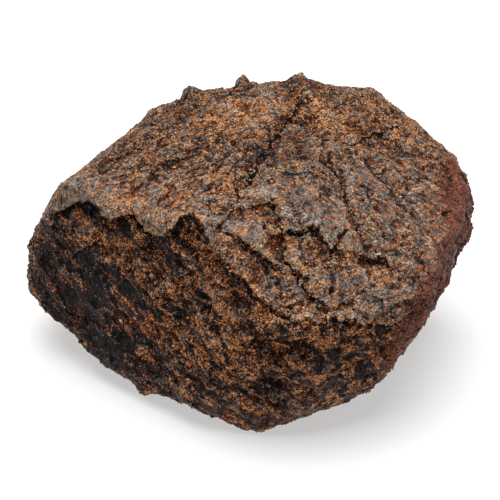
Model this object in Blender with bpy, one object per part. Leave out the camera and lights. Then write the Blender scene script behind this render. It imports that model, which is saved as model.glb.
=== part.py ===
"""A weathered stony meteorite, about 100 mm long, lying on its flattest side.

The stone is one closed body. Flat broken faces, each a plane at its own distance from the heart of the
stone, meet in rounded edges. Hollows, grooves, ledges, horns and lumps then move the surface in or out
along the line from the heart, and a level cut makes the face that the stone rests on.

Azimuth 0 is the front of the stone, towards -Y, and 90 is its right end, towards +X. Elevation 90 is up.
The frame's origin is under the middle of the stone, on the level of the face that it rests on.
"""

import bmesh
import bpy
import numpy as np

MM = 0.001

# ---- driving dimensions, in millimetres and degrees ----

HEART_HEIGHT = 30.0  # the heart of the stone, over the face that it rests on
EDGE_SHARPNESS = 30  # how tightly two broken faces meet: higher is sharper

# The broken faces: azimuth, elevation, distance from the heart.
BROKEN_FACES = {
    "top, left half": (-60, 78, 25.2),
    "top, right half": (70, 68, 26.3),
    "front slope": (27, 50, 31.2),
    "front, under the ridge": (-42, 2, 29.8),
    "front, middle": (-12, -16, 37.0),
    "front, right of the foot": (26, -16, 41.2),
    "left front": (-72, 4, 45.5),
    "left end": (-92, -9, 51.8),
    "left shoulder": (-102, 24, 45.0),
    "left, underneath": (-70, -40, 45.6),
    "upper left": (-122, 44, 36.8),
    "back of the top, left": (-164, 58, 36.2),
    "back of the top, right": (159, 58, 42.4),
    "upper right": (119, 40, 46.6),
    "right end": (93, 5, 51.0),
    "right front": (70, 2, 46.0),
    "right, underneath": (74, -32, 39.8),
    "front, under the right": (36, -55, 39.0),
    "front, under the left": (-34, -55, 37.8),
    "back": (180, 5, 46.0),
    "back, right": (140, -15, 48.0),
    "back, left": (-145, -10, 47.0),
    "back, underneath": (180, -50, 40.0),
    "underside, left": (-95, -70, 35.5),
    "underside, right": (95, -68, 35.5),
    "underside, back": (180, -72, 35.0),
    "underside": (0, -90, 32.0),
}

# Hollows: azimuth, elevation, half length, half width, turn of the length from level, depth.
HOLLOWS = {
    "scoop under the ridge, far left": (-72, 14, 8.0, 5.0, 10, 1.8),
    "scoop under the ridge, left": (-57, 13, 6.5, 5.0, -10, 1.6),
    "scoop under the ridge, middle": (-41, 14, 7.0, 5.5, -20, 1.8),
    "scoop under the ridge, right": (-20, 24, 9.0, 7.5, -50, 3.2),
    "scoop under the ridge, lower": (-4, 10, 9.0, 5.0, -45, 1.6),
    "dark hollow of the front": (10, -4, 11.0, 6.0, -5, 2.0),
    "low hollow of the front": (8, -24, 9.0, 6.0, 15, 2.2),
    "hollow right of the foot": (34, -14, 9.0, 6.0, 20, 1.5),
    "low left hollow": (-84, -27, 10.0, 6.0, 30, 1.2),
    "dip of the upper right": (118, 33, 9.0, 4.5, 60, 1.3),
    "dip of the right end": (84, -12, 8.0, 6.0, 60, 1.2),
    "back thumbprint, upper left": (-158, 22, 12.0, 9.0, 20, 2.6),
    "back thumbprint, lower left": (-150, -18, 11.0, 8.0, -15, 2.4),
    "back thumbprint, middle": (176, -2, 12.0, 9.0, 35, 3.0),
    "back thumbprint, upper right": (150, 28, 10.0, 8.0, -30, 2.2),
    "back thumbprint, lower right": (146, -20, 12.0, 8.0, 10, 2.6),
    "left thumbprint, back": (-122, 2, 10.0, 7.0, 40, 2.0),
    "right thumbprint, back": (118, 2, 10.0, 7.0, -40, 2.0),
    "right underneath": (100, -32, 10.0, 7.0, 20, 1.6),
    "back, underneath": (-172, -44, 10.0, 7.0, 0, 1.8),
}

# Grooves: half width, depth, then the azimuth and elevation of each bend.
GROOVES = {
    "valley across the top": (3.6, 1.4, ((150, 49), (135, 67), (25, 77), (0, 62), (-9, 46), (-12, 36))),
    "crack down the slab": (1.4, 1.1, ((86, 52), (71, 45), (58, 37), (51, 30), (47, 23), (46, 15))),
    "crack in the front slope": (1.4, 1.1, ((13, 29), (15, 22), (17, 16), (24, 8))),
    "back crease": (2.4, 1.2, ((-130, 20), (-165, 4), (168, -12), (140, -2))),
}

# Low crests: half width, height, then the azimuth and elevation of each bend.
CRESTS = {
    "bench under the ridge": (2.6, 1.2, ((-90, 8), (-78, 12), (-68, 15), (-56, 12), (-44, 6))),
    "crest of the upper right": (3.0, 0.9, ((150, 44), (129, 44), (109, 38))),
    "streak of the front": (2.4, 0.8, ((-20, 2), (-14, -5), (-8, -12))),
    "crest of the back": (3.0, 1.0, ((-138, 34), (-150, 12), (-140, -14))),
}

# Ledges: height, then the azimuth and elevation of each bend. The high side is to the left of the way
# along the ledge, seen from outside.
LEDGES = {
    "upper slab, left edge": (1.5, ((-4, 43), (5, 48), (12, 48), (15, 42), (14, 33))),
    "upper slab, lower edge": (1.5, ((16, 33), (30, 34), (33, 25), (42, 20), (50, 14))),
    "left slab, lower edge": (1.3, ((-15, 36), (-7, 33), (0, 29), (7, 25), (14, 21))),
    "brow of the front": (1.2, ((16, 14), (24, 9), (34, 6), (46, 4))),
    "left shoulder ledge": (1.2, ((-70, 36), (-84, 50), (-110, 62))),
    "right ledge": (1.2, ((60, 2), (66, 14), (78, 26), (100, 36))),
    "back ledge": (1.6, ((-172, 44), (168, 34), (140, 40))),
    "back step": (1.4, ((-120, -8), (-150, 2), (-178, -18), (160, -30))),
    "right end step": (1.2, ((112, 22), (104, 4), (112, -16))),
}

# Horns, nubs and corners that stand out: azimuth, elevation, radius, height, pointed or round.
HORNS = {
    "left horn": (-155, 38, 2.8, 3.4, "pointed"),
    "middle horn": (-176, 42, 2.8, 3.2, "pointed"),
    "peak": (161, 38, 3.6, 3.2, "pointed"),
    "shoulder nub": (-112, 16, 3.0, 1.0, "pointed"),
    "low left nub": (-59, -46, 4.0, 2.8, "pointed"),
    "low right nub": (50, -35, 3.0, 2.0, "pointed"),
    "top right corner": (142, 24, 4.0, 1.2, "pointed"),
    "right corner": (98, -1, 5.0, 1.6, "round"),
    "left corner": (-100, -16, 8.0, 1.0, "round"),
    "foot": (-2, -44, 7.0, 1.0, "round"),
    "ridge crag, left": (-70, 24, 4.0, 1.2, "pointed"),
    "ridge crag, middle": (-52, 24, 4.0, 1.2, "pointed"),
    "ridge crag, right": (-33, 28, 4.0, 1.4, "pointed"),
}

# Lumps of every size over the whole stone: distance between lumps, height.
LUMPS = ((17.0, 0.55), (8.5, 0.5), (4.5, 0.35))
LUMP_SEED = 11

HOLLOW_FLARE = 1.5  # a hollow's wall: 1 is a plain bowl, higher widens gently to the rim
HORN_FLARE = 1.2  # a horn's side: 1 is a straight cone, higher is hollowed
SWELLING_FALL = 1.5  # how fast a round swelling falls off

LEDGE_REACH_UP = 9.0  # how far the high side of a ledge takes to sink back
LEDGE_REACH_DOWN = 5.0  # how far the low side takes to rise back
LEDGE_SOFTNESS = 0.5  # half the width of the step itself

# How far hollows, grooves and ledges stray from their plain outlines, and over what distance.
STRAY = 1.6
STRAY_CELL = 6.0
STRAY_SEED = 31

FIRST_SUBDIVISIONS = 7  # about 80,000 triangles, from which the final ones are kept
KEPT_SHARE = 0.105  # about 8,600 triangles, less those under the resting face
SMOOTH_EDGE_LIMIT = 32.0

CUTTER_SIDE = 200.0
CUTTER_DEPTH = 20.0

NOISE_SLOPES = 256  # how many different slopes the noise draws from
NOISE_REACH = 1.6  # brings the noise's heights to about -1 to 1
NOISE_START = 100.0  # keeps the noise's cells positive

CRUST_COLOUR = (0.13, 0.083, 0.058, 1.0)
CRUST_ROUGHNESS = 0.6


def clear_scene():
    for old in list(bpy.data.objects):
        bpy.data.objects.remove(old)


def facing(azimuth, elevation):
    """The unit vector that looks out from the heart at an azimuth and an elevation."""
    azimuth, elevation = np.radians(azimuth), np.radians(elevation)
    level = np.cos(elevation)
    return np.array([np.sin(azimuth) * level, -np.cos(azimuth) * level, np.sin(elevation)])


def distance_to_faces(directions):
    """How far the broken faces are from the heart, with their edges rounded where they meet."""
    total = np.zeros(len(directions))
    for azimuth, elevation, distance in BROKEN_FACES.values():
        reach = directions @ facing(azimuth, elevation) / distance
        total += np.maximum(reach, 0.0) ** EDGE_SHARPNESS
    return total ** (-1.0 / EDGE_SHARPNESS)


def on_stone(azimuth, elevation):
    """The point of the broken faces at an azimuth and an elevation."""
    direction = facing(azimuth, elevation)
    return direction * distance_to_faces(direction[None])[0]


def local_axes(azimuth, elevation, turn=0.0):
    """Two directions across the surface, along and across a length turned up from level."""
    outward = facing(azimuth, elevation)
    level = np.cross((0.0, 0.0, 1.0), outward)
    level /= np.linalg.norm(level)
    upward = np.cross(outward, level)
    turn = np.radians(turn)
    along = level * np.cos(turn) + upward * np.sin(turn)
    across = upward * np.cos(turn) - level * np.sin(turn)
    return along, across


def hollow(points, azimuth, elevation, half_length, half_width, turn, depth):
    """An oval bowl."""
    along, across = local_axes(azimuth, elevation, turn)
    offset = points - on_stone(azimuth, elevation)
    spread = (offset @ along / half_length) ** 2 + (offset @ across / half_width) ** 2
    other_side_of_stone = np.linalg.norm(offset, axis=1) > 2.0 * half_length
    spread[other_side_of_stone] = 1.0
    return -depth * np.clip(1.0 - spread, 0.0, 1.0) ** HOLLOW_FLARE


def horn(points, azimuth, elevation, radius, height, form):
    """A pointed crag, or a round swelling."""
    away = np.linalg.norm(points - on_stone(azimuth, elevation), axis=1) / radius
    if form == "pointed":
        return height * np.clip(1.0 - away, 0.0, 1.0) ** HORN_FLARE
    return height * np.exp(-SWELLING_FALL * away**2)


def along_path(points, bends):
    """For each point, its distance from a path over the stone, and on which side of it it lies."""
    stops = [on_stone(azimuth, elevation) for azimuth, elevation in bends]
    nearest = np.full(len(points), np.inf)
    side = np.zeros(len(points))
    for start, end in zip(stops, stops[1:]):
        run = end - start
        share = np.clip((points - start) @ run / (run @ run), 0.0, 1.0)
        offset = points - (start + share[:, None] * run)
        away = np.linalg.norm(offset, axis=1)
        left = np.cross((start + end) / 2.0, run)
        closer = away < nearest
        nearest[closer] = away[closer]
        side[closer] = (offset @ (left / np.linalg.norm(left)))[closer]
    return nearest, side


def groove(points, half_width, depth, bends):
    """A valley along a path, or a crest where the depth is negative."""
    away, _ = along_path(points, bends)
    return -depth * np.exp(-((away / half_width) ** 2))


def ledge(points, height, bends):
    """A step along a path: its high side sinks back slowly, its low side rises back soon."""
    away, side = along_path(points, bends)
    high = 0.5 * height * np.exp(-away / LEDGE_REACH_UP)
    low = -0.5 * height * np.exp(-away / LEDGE_REACH_DOWN)
    blend = 0.5 + 0.5 * np.tanh(side / LEDGE_SOFTNESS)
    return blend * high + (1.0 - blend) * low


def smooth_noise(points, cell, seed):
    """Gradient noise, about -1 to 1, with lumps one cell apart."""
    shuffle = np.random.default_rng(seed)
    order = shuffle.permutation(NOISE_SLOPES)
    slopes = shuffle.normal(size=(NOISE_SLOPES, 3))
    slopes /= np.linalg.norm(slopes, axis=1, keepdims=True)
    scaled = points / cell + NOISE_START
    base = np.floor(scaled).astype(int)
    part = scaled - base
    fade = part**3 * (part * (part * 6.0 - 15.0) + 10.0)
    total = np.zeros(len(points))
    for corner in np.ndindex(2, 2, 2):
        key = np.zeros(len(points), dtype=int)
        for axis in range(3):
            key = order[(key + base[:, axis] + corner[axis]) % NOISE_SLOPES]
        weight = np.prod(np.where(corner, fade, 1.0 - fade), axis=1)
        total += weight * np.sum(slopes[key] * (part - corner), axis=1)
    return NOISE_REACH * total


def strayed(points):
    """The points, each moved a little, so that what is laid out by them gets a broken outline."""
    moves = [smooth_noise(points, STRAY_CELL, STRAY_SEED + axis) for axis in range(3)]
    return points + STRAY * np.column_stack(moves)


def relief(points):
    """How far each point of the broken faces moves out, or in where it is negative."""
    height = np.zeros(len(points))
    broken = strayed(points)
    for numbers in HOLLOWS.values():
        height += hollow(broken, *numbers)
    for numbers in GROOVES.values():
        height += groove(broken, *numbers)
    for half_width, rise, bends in CRESTS.values():
        height += groove(broken, half_width, -rise, bends)
    for numbers in LEDGES.values():
        height += ledge(broken, *numbers)
    for numbers in HORNS.values():
        height += horn(broken, *numbers)
    for octave, (cell, size) in enumerate(LUMPS):
        height += size * smooth_noise(points, cell, LUMP_SEED + octave)
    return height


def stone_points(directions):
    """The surface around the heart, in millimetres over the resting face, centred over the origin."""
    points = directions * distance_to_faces(directions)[:, None]
    points += directions * relief(points)[:, None]
    points[:, 2] += HEART_HEIGHT
    middle = (points.min(axis=0) + points.max(axis=0)) / 2.0
    points[:, :2] -= middle[:2]
    return points


def crust_material():
    material = bpy.data.materials.new("weathered_crust")
    material.use_nodes = True
    shader = material.node_tree.nodes["Principled BSDF"]
    shader.inputs["Base Color"].default_value = CRUST_COLOUR
    shader.inputs["Roughness"].default_value = CRUST_ROUGHNESS
    shader.inputs["Metallic"].default_value = 0.0
    material.diffuse_color = CRUST_COLOUR
    return material


def add_object(name, shape):
    mesh = bpy.data.meshes.new(name)
    shape.to_mesh(mesh)
    shape.free()
    thing = bpy.data.objects.new(name, mesh)
    bpy.context.scene.collection.objects.link(thing)
    return thing


def level_cutter():
    """A block whose top face is the level that the stone rests on."""
    shape = bmesh.new()
    bmesh.ops.create_cube(shape, size=MM)
    bmesh.ops.scale(shape, vec=(CUTTER_SIDE, CUTTER_SIDE, CUTTER_DEPTH), verts=shape.verts)
    cutter = add_object("level_cutter", shape)
    cutter.location.z = -CUTTER_DEPTH / 2.0 * MM
    cutter.hide_render = True
    cutter.display_type = "WIRE"
    return cutter


def stone():
    shape = bmesh.new()
    bmesh.ops.create_icosphere(shape, subdivisions=FIRST_SUBDIVISIONS, radius=1.0)
    directions = np.array([vertex.co for vertex in shape.verts])
    directions /= np.linalg.norm(directions, axis=1, keepdims=True)
    for vertex, point in zip(shape.verts, stone_points(directions) * MM):
        vertex.co = point
    thing = add_object("meteorite", shape)
    thing.data.materials.append(crust_material())
    thing.data.shade_smooth()
    thing.data.set_sharp_from_angle(angle=np.radians(SMOOTH_EDGE_LIMIT))
    fewer = thing.modifiers.new("fewer_facets", "DECIMATE")
    fewer.ratio = KEPT_SHARE
    level = thing.modifiers.new("resting_face", "BOOLEAN")
    level.operation = "DIFFERENCE"
    level.object = level_cutter()
    return thing


clear_scene()
stone()
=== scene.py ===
"""The looks of the meteorite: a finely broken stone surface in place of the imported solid, its material, and a
plain studio around it.

Lengths are in millimetres in every name and table here, and MM turns them into Blender's metres. Places on
the stone that the photograph shows are given by the pixel where they are seen, in its 500 by 500 frame.
"""

import math

import bmesh
import bpy
import numpy as np
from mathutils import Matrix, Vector
from mathutils.bvhtree import BVHTree


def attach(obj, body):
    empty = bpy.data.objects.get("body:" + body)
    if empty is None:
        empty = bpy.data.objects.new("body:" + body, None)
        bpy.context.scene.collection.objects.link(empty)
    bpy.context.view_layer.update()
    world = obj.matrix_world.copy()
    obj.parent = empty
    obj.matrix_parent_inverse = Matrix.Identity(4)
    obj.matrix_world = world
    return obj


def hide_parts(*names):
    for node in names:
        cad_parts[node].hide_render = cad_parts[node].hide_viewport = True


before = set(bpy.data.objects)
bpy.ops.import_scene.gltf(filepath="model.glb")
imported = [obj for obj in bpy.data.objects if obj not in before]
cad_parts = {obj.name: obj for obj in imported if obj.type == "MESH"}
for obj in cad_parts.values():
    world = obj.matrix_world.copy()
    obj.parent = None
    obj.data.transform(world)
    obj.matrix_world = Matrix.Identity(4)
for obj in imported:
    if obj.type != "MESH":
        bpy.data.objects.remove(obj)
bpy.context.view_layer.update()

MM = 0.001

# ---- camera ----

IMAGE_SIDE = 500.0
LENS = 200.0
SENSOR = 36.0
PIXELS_PER_SLOPE = LENS / SENSOR * IMAGE_SIDE
CAMERA_ELEVATION = math.radians(30.0)
CAMERA_DISTANCE = 622.8
CAMERA_TARGET = Vector((0.0, -2.6, 29.0))

# ---- the fine mesh ----

VOXEL = 0.27
FACET_SMOOTHING = 11
MOST_TRIANGLES = 198000
HEART = np.array((0.0, -2.6, 30.0))  # the middle of the stone

# Relief over the whole stone, each row a noise: distance between its lumps, height on a smooth place, height
# on a rugged one.
LUMPS = ((6.0, 0.24, 0.50), (2.8, 0.08, 0.32), (1.5, 0.05, 0.26), (0.85, 0.06, 0.24))
LUMP_SEED = 40
SCALLOPS = ((8.0, 0.10, 1.00), (3.6, 0.07, 0.60), (1.8, 0.05, 0.38))  # hollows that meet in sharp crests
SCALLOP_SEED = 50
SCALE_CHIPS = ((4.2, 0.07, 0.20), (1.7, 0.09, 0.28))  # small flat facets, each tilted its own way: slopes
CHIP_SEED = 60
FRONT_GRAIN = ((150, 262), (250, 372))   # two pixels on a line along the grain of the dark face
TOP_GRAIN = ((120, 172), (215, 128))     # and of the top
FRONT_STREAK = 2.3      # how much longer the relief is along the grain than across it
TOP_STREAK = 2.2

# Streaks of broken rusty grains across the dark face, with smooth crust between: distance apart, share.
CLUSTERS = ((3.0, 0.75), (1.4, 0.75), (0.8, 0.5))
CLUSTER_SEED = 130
CLUSTER_STREAK = 2.8
BARE_START = 1.01       # how bare the dark face is outside the streaks, less where a spot of rust lies
BARE_LESS_BY_RUST = 0.45
BARE_MORE_BY_DARK = 0.48

# Loose and half buried grains, as small angular solids.
GRAINS = 24500
GRAIN_SEED = 71
GRAIN_SIZE = 0.26       # half the width of a middling grain
GRAIN_SPREAD = 0.42     # how much the sizes differ
LARGEST_GRAIN = 2.6 * GRAIN_SIZE
CORNERS = 6             # of each grain
GRAIN_FLATNESS = 0.85
GRAIN_SUNK = 0.25       # how far its middle lies below the surface, in half widths

# Ledges: height, how far the high side takes to sink back, then the pixels of each bend. The high side is to
# the left of the way along the ledge, as the camera sees it.
LEDGES = {
    "upper slab, left edge": (0.38, 3.0, (
        (249, 208), (256, 203), (263, 200), (270, 201), (274, 207), (277, 213), (280, 219), (279, 226))),
    "upper slab, lower edge": (0.48, 3.0, (
        (289, 233), (299, 231), (306, 229), (312, 228), (317, 232), (319, 237), (323, 240), (329, 246),
        (337, 250))),
    "left slab, lower edge": (0.48, 3.0, (
        (219, 232), (226, 234), (232, 236), (235, 241), (247, 244), (251, 249), (257, 255), (268, 260),
        (277, 266))),
    "slot down the front slope": (0.34, 2.6, (
        (284, 252), (287, 260), (292, 267), (298, 278), (304, 288), (310, 293), (318, 299), (326, 306))),
    "right hand ledge": (0.36, 3.0, (
        (352, 252), (362, 256), (372, 262), (380, 262), (388, 268), (392, 277))),
    "ridge, left": (2.0, 2.2, (
        (60, 210), (75, 204), (90, 200), (99, 203), (104, 214), (112, 219), (122, 215), (131, 214),
        (138, 220), (148, 230), (158, 234), (168, 233))),
    "ridge, middle": (1.8, 2.2, (
        (170, 231), (182, 219), (192, 216), (200, 224), (208, 236), (216, 248), (226, 260), (238, 273),
        (250, 288), (262, 300), (276, 312), (290, 318))),
    "brow": (1.3, 2.5, (
        (290, 322), (304, 318), (318, 322), (330, 316), (340, 320), (352, 318), (362, 326), (374, 320),
        (386, 326), (400, 318))),
    "bench under the ridge": (0.68, 2.5, (
        (64, 262), (78, 254), (90, 244), (104, 242), (118, 252), (132, 262), (146, 272), (158, 286))),
    "shoulder, upper left": (0.38, 3.0, ((118, 178), (134, 170), (152, 168), (170, 160), (186, 156))),
    "shelf below the top": (0.38, 3.0, ((196, 196), (206, 186), (218, 180), (226, 170), (238, 160))),
    "lower band": (0.6, 3.0, (
        (128, 352), (150, 360), (176, 372), (204, 380), (232, 386), (256, 396), (276, 402), (300, 392),
        (322, 380))),
}

# The ledges along which the lit top ends and the dark face begins.
DIVIDES = ("ridge, left", "ridge, middle", "brow")
DIVIDE_REACH = 4.5      # how far to each side the divide alone says what is top and what is face
SHADE_REACH = 2.2       # how far the black shade under a divide goes down the face
OFF_SURFACE = 2.0       # how far above or below a line a point may lie and still be measured in the surface
STEP_SOFTNESS = 0.15    # half the width of a ledge's step
SIDE_REACH = 1.4        # how far from a ledge or crack its two sides are told apart in the material

# Cracks: half width, depth, then the pixels of each bend.
WIDEST_CRACK = 0.45
CRACKS = {
    "right of the upper slab": (0.23, 0.56, (
        (330, 160), (334, 173), (338, 182), (343, 191), (347, 202), (351, 212), (355, 222), (361, 238))),
    "under the upper slab": (0.22, 0.48, (
        (289, 235), (300, 233), (312, 230), (318, 239), (327, 247), (333, 252))),
    "left edge of the upper slab": (0.2, 0.4, ((262, 201), (271, 203), (277, 214), (281, 222), (281, 236))),
    "under the left slab": (0.22, 0.48, (
        (220, 234), (232, 238), (240, 244), (252, 251), (268, 262), (278, 268))),
    "down the front slope": (0.3, 0.8, ((282, 246), (287, 262), (298, 280), (308, 293), (322, 304))),
    "groove below the right crack": (0.29, 0.4, ((352, 228), (345, 235), (339, 243), (332, 254))),
    "right hand": (0.22, 0.4, ((378, 250), (382, 258), (388, 268))),
    "near the right end, upper": (0.22, 0.32, ((365, 192), (369, 199), (373, 208))),
    "near the right end, lower": (0.22, 0.32, ((370, 214), (375, 224), (381, 232))),
    "valley bed": (0.43, 0.32, ((300, 106), (284, 128), (268, 150), (256, 170), (249, 183))),
    "left of the left slab": (0.22, 0.4, ((236, 168), (232, 182), (238, 196), (232, 208), (222, 226))),
    "upper right valley": (0.36, 0.32, ((346, 146), (360, 142), (371, 137), (382, 131), (396, 128))),
}

# Pits with soft rims: the pixel of the middle, radius, depth.
PITS = (
    (60, 250, 4.0, 0.8), (100, 275, 5.0, 0.7), (275, 383, 3.5, 1.0), (300, 345, 5.0, 1.2),
    (255, 345, 4.0, 0.9), (345, 345, 3.5, 1.0), (385, 346, 3.0, 0.9), (228, 282, 2.6, 0.9),
    (205, 300, 3.4, 0.8), (180, 318, 3.4, 0.7), (384, 237, 1.0, 0.5), (398, 243, 0.9, 0.5),
    (421, 176, 0.8, 0.5), (352, 305, 1.3, 0.7), (388, 200, 0.8, 0.5),
)
# Scoops with sharp rims, under the ridge above all.
SCOOPS = (
    (68, 213, 2.2, 0.7), (80, 209, 2.4, 0.8), (93, 207, 2.4, 1.1), (101, 212, 1.6, 0.8),
    (108, 225, 1.9, 0.9), (114, 232, 1.6, 0.7), (133, 219, 2.0, 0.8), (142, 224, 1.7, 0.8),
    (150, 238, 2.0, 0.9), (153, 250, 1.8, 0.8), (176, 236, 1.5, 0.7), (186, 229, 2.0, 0.9),
    (196, 235, 2.0, 0.9), (207, 250, 2.0, 0.8), (221, 266, 2.0, 0.8), (236, 282, 2.0, 0.7),
    (250, 297, 1.8, 0.7), (266, 310, 1.7, 0.6), (330, 291, 1.0, 1.0), (253, 208, 0.7, 0.7),
    (329, 178, 0.5, 0.5), (267, 203, 0.6, 0.4), (306, 171, 0.5, 0.4), (246, 178, 0.5, 0.4),
    (238, 168, 0.5, 0.4), (411, 172, 0.6, 0.4), (105, 199, 0.7, 0.5), (123, 197, 0.6, 0.5),
    (170, 214, 0.7, 0.5), (185, 194, 0.5, 0.4), (310, 330, 1.4, 0.7), (325, 332, 1.5, 0.7),
    (344, 328, 1.4, 0.7), (366, 334, 1.4, 0.7), (392, 332, 1.3, 0.7), (300, 286, 0.7, 0.5),
)

# How ledges, cracks, pits and coloured places stray from their lines: distance between the bends, reach. The
# jags are straight and sharp.
STRAYS = ((4.5, 0.7),)
STRAY_SEED = 90
JAGS = ((3.0, 0.35), (1.2, 0.5))
JAG_SEED = 110

# Seeds of the noises that break up single features.
CRACK_SEED = 88
RUGGED_SEED = 95
FRONT_SEED = 96
FLANK_SEEDS = (97, 98)

# Small points on the outline: the pixel of the tip's foot, radius, height.
HORNS = (
    (191, 93, 2.2, 1.5), (197, 95, 1.8, 0.7), (241, 83, 1.8, 0.8), (294, 81, 2.4, 1.4), (287, 84, 1.8, 0.8),
    (142, 383, 1.0, 0.6), (368, 390, 1.2, 0.6), (86, 175, 1.8, 0.6),
)

# ---- coloured regions: the pixel of the middle, radius in mm, strength ----

RUST_SPOTS = (
    (240, 122, 9, 0.7), (215, 115, 6, 0.5), (335, 125, 8, 0.7), (318, 108, 6, 0.7), (385, 277, 2.6, 1),
    (150, 150, 6, 0.4), (233, 185, 4, 0.7), (229, 175, 3, 0.6), (312, 247, 2.6, 0.8), (345, 250, 3, 0.3),
    (260, 215, 4, 0.5), (182, 190, 4, 0.6), (130, 205, 5, 0.5), (145, 265, 5, 0.5), (165, 245, 4, 0.6),
    (200, 330, 5, 0.5), (210, 345, 4, 0.6), (255, 315, 6, 0.5), (300, 320, 4, 0.4), (160, 340, 7, 0.5),
    (310, 295, 3, 0.5), (372, 108, 7, 0.7), (402, 128, 6, 0.6), (235, 262, 5, 0.6), (252, 282, 4, 0.6),
    (215, 255, 4, 0.5), (285, 345, 5, 0.4), (330, 335, 6, 0.4), (185, 300, 6, 0.4), (85, 234, 4, 0.65),
    (105, 242, 4, 0.65), (124, 250, 4, 0.65), (188, 237, 3, 0.6), (192, 226, 3, 1), (277, 239, 3, 0.9),
    (240, 345, 6, 0.6), (225, 310, 5, 0.5), (205, 285, 5, 0.5), (262, 330, 4, 0.5),
)
GREY_SPOTS = (
    (300, 210, 6, 0.8), (320, 200, 6, 0.8), (270, 190, 4, 0.7), (235, 225, 4, 0.7), (255, 240, 4, 0.7),
    (325, 220, 5, 0.8), (370, 180, 8, 0.6), (350, 290, 6, 0.6), (395, 290, 5, 0.5), (70, 195, 7, 0.8),
    (205, 222, 4, 0.9), (165, 205, 6, 0.4), (300, 285, 4, 0.6), (90, 335, 6, 0.6), (310, 165, 4, 0.5),
    (300, 398, 9, 0.9), (345, 382, 9, 0.9), (385, 362, 7, 0.8), (255, 404, 8, 0.7), (210, 392, 7, 0.5),
    (50, 270, 8, 0.9), (75, 300, 9, 0.9), (110, 335, 9, 0.7), (150, 380, 7, 0.6), (48, 236, 4, 0.6),
)
FLANK_SPOTS = (
    (455, 168, 5, 0.7), (459, 188, 6, 1), (461, 208, 6.5, 1), (461, 230, 7, 1), (455, 252, 7.5, 1),
    (446, 272, 8, 1), (434, 297, 8, 1), (422, 320, 8, 1), (408, 343, 7.5, 1), (396, 364, 6.5, 0.8),
    (380, 384, 5, 0.6),
)
SMOOTH_SPOTS = (
    (245, 230, 4.5, 1), (265, 243, 4.5, 0.9), (298, 188, 6, 1), (318, 203, 7, 1), (332, 225, 6.5, 1),
    (372, 185, 8, 0.9), (385, 215, 7, 0.8), (350, 282, 6, 0.8), (398, 285, 7, 0.7), (72, 194, 6.5, 0.7),
    (60, 330, 9, 0.8), (110, 362, 9, 0.8), (230, 405, 9, 0.6), (290, 404, 9, 0.8), (375, 370, 7, 0.7),
    (90, 290, 10, 0.9), (125, 305, 8, 0.8), (130, 338, 8, 0.8), (415, 170, 8, 0.7), (425, 210, 8, 0.8),
    (422, 250, 8, 0.7), (410, 145, 7, 0.6), (92, 186, 7, 0.6), (440, 190, 7, 0.8), (150, 190, 8, 0.6),
    (175, 208, 5, 0.8), (205, 222, 4, 0.8), (300, 270, 5, 0.6), (160, 395, 9, 0.8), (330, 390, 11, 0.9),
    (276, 192, 4, 0.8), (230, 212, 4, 0.8), (110, 180, 7, 0.5), (90, 340, 7, 0.5),
)
# Places painted lighter: partly lighter crust, partly painted light that lifts the shade in pockets and on the
# face under the ridge.
LIGHT_SPOTS = (
    (240, 114, 8, 0.9), (215, 122, 4.5, 0.6), (268, 108, 5, 0.6), (232, 178, 5, 0.8), (228, 200, 4, 0.7),
    (262, 192, 4, 0.5), (310, 250, 4, 0.7), (345, 262, 5, 0.6), (372, 275, 4, 0.7), (385, 278, 3, 0.8),
    (265, 290, 4, 0.5), (290, 262, 2.5, 0.5), (318, 108, 6, 0.5), (335, 122, 5, 0.4), (70, 205, 4, 0.6),
    (105, 195, 4, 0.5), (206, 330, 3.5, 0.8), (216, 344, 3, 0.7), (196, 316, 2.5, 0.6), (340, 375, 7, 0.6),
    (370, 350, 5, 0.6), (270, 243, 3, 0.8), (305, 277, 2.5, 0.6), (357, 263, 3, 0.6), (256, 248, 2.5, 0.5),
    (335, 345, 5, 0.5), (88, 234, 5, 0.7), (110, 244, 5, 0.7), (277, 239, 2.6, 1), (312, 229, 1.8, 0.9),
    (240, 345, 6, 0.5), (225, 310, 5, 0.5), (345, 200, 5, 0.3), (180, 262, 5, 0.4), (250, 402, 7, 0.4),
    (215, 395, 6, 0.4), (180, 385, 6, 0.4), (150, 262, 3, 0.5), (128, 258, 3, 0.4), (175, 252, 3, 0.4),
    (300, 330, 4, 0.4), (352, 228, 4, 0.3), (206, 228, 2.5, 0.6), (182, 205, 3, 0.4), (192, 227, 2.6, 0.7),
    (318, 340, 6, 0.8), (362, 344, 6, 0.8), (395, 344, 5, 0.8), (295, 388, 9, 0.7), (345, 378, 9, 0.7),
    (380, 362, 7, 0.7), (250, 400, 8, 0.6), (330, 398, 8, 0.6), (205, 385, 8, 0.5),
)
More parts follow.
